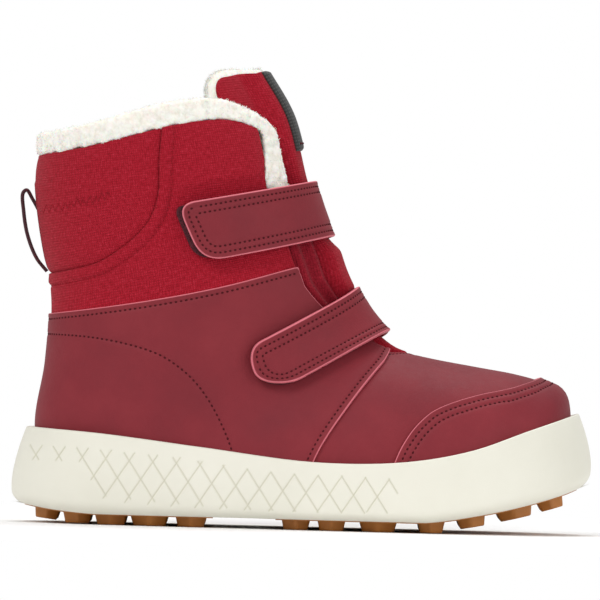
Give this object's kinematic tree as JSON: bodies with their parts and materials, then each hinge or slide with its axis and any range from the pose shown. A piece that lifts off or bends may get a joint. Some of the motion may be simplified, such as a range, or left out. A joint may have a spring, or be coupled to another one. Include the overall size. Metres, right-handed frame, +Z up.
{
  "type": "child's winter boot",
  "caption": "Right-foot child's winter boot: cup sole with lugged treads, leather and textile upper, pile lining, padded tongue, hook-and-loop straps and a heel pull loop.",
  "frame": {"origin": "on the ground, under the middle of the sole's length and width", "axes": "+X from heel to toe, +Y towards the wearer's left, the big-toe side of this right boot, +Z up"},
  "size_m": [0.2, 0.082, 0.1573],
  "materials": {
    "leather": "smooth matte coated leather, dark red",
    "textile": "coarse woven textile, padded, red",
    "fleece": "long off-white pile",
    "sole_rubber": "matte off-white rubber",
    "gum_rubber": "translucent gum rubber, satin",
    "eva_foam": "closed-cell foam",
    "board": "pressed fibre board",
    "stiffener": "thermoplastic stiffener sheet",
    "loop_pile": "loop side of the fastening, dark red",
    "hook_tape": "moulded hook tape, dark red",
    "pull_webbing": "narrow woven webbing, maroon",
    "tab_webbing": "woven tab, charcoal"
  },
  "bodies": {
    "boot": {"cup_sole": "sole_rubber", "heel_tread": "gum_rubber", "forefoot_tread": "gum_rubber", "sole_filler": "eva_foam", "insole_board": "board", "vamp": "leather", "toe_cap": "leather", "toe_puff": "stiffener", "quarter_lateral": "leather", "quarter_medial": "leather", "heel_counter": "stiffener", "shaft_panel_lateral": "textile", "shaft_panel_medial": "textile", "collar_rear": "textile", "shaft_foam": "eva_foam", "lining": "fleece", "collar_rim": "fleece", "tongue_base": "textile", "tongue_fleece_base": "fleece", "gusset_lateral": "textile", "gusset_medial": "textile", "upper_strap_anchor": "leather", "upper_pile_patch": "loop_pile", "lower_strap_anchor": "leather", "lower_pile_patch": "loop_pile"},
    "upper_strap": {"upper_strap": "leather", "upper_hook_patch": "hook_tape"},
    "lower_strap": {"lower_strap": "leather", "lower_hook_patch": "hook_tape"},
    "tongue": {"tongue_upper": "textile", "tongue_fleece_upper": "fleece", "tongue_pull_tab": "tab_webbing"},
    "footbed": {"footbed": "fleece"},
    "heel_loop": {"heel_pull_loop": "pull_webbing"}
  },
  "joints": [
    {"name": "upper_strap_open", "type": "hinge", "parent": "boot", "child": "upper_strap", "pos_m": [-0.014, 0.02916, 0.10624], "axis": [-0.296, 0.0431, 0.9542], "range_deg": [0, 120]},
    {"name": "lower_strap_open", "type": "hinge", "parent": "boot", "child": "lower_strap", "pos_m": [-0.0035, 0.02778, 0.05971], "axis": [-0.5396, 0.0137, 0.8418], "range_deg": [0, 110]},
    {"name": "tongue_tilt", "type": "hinge", "parent": "boot", "child": "tongue", "pos_m": [0.0086, 0, 0.0915], "axis": [0, 1, 0], "range_deg": [-12, 0]},
    {"name": "footbed_lift", "type": "hinge", "parent": "boot", "child": "footbed", "pos_m": [0.082, 0, 0.02416], "axis": [0, 1, 0], "range_deg": [0, 6]},
    {"name": "heel_loop_swing", "type": "hinge", "parent": "boot", "child": "heel_loop", "pos_m": [-0.09125, 0, 0.0967], "axis": [-0.1514, 0, 0.9885], "range_deg": [-38, 38]}
  ]
}
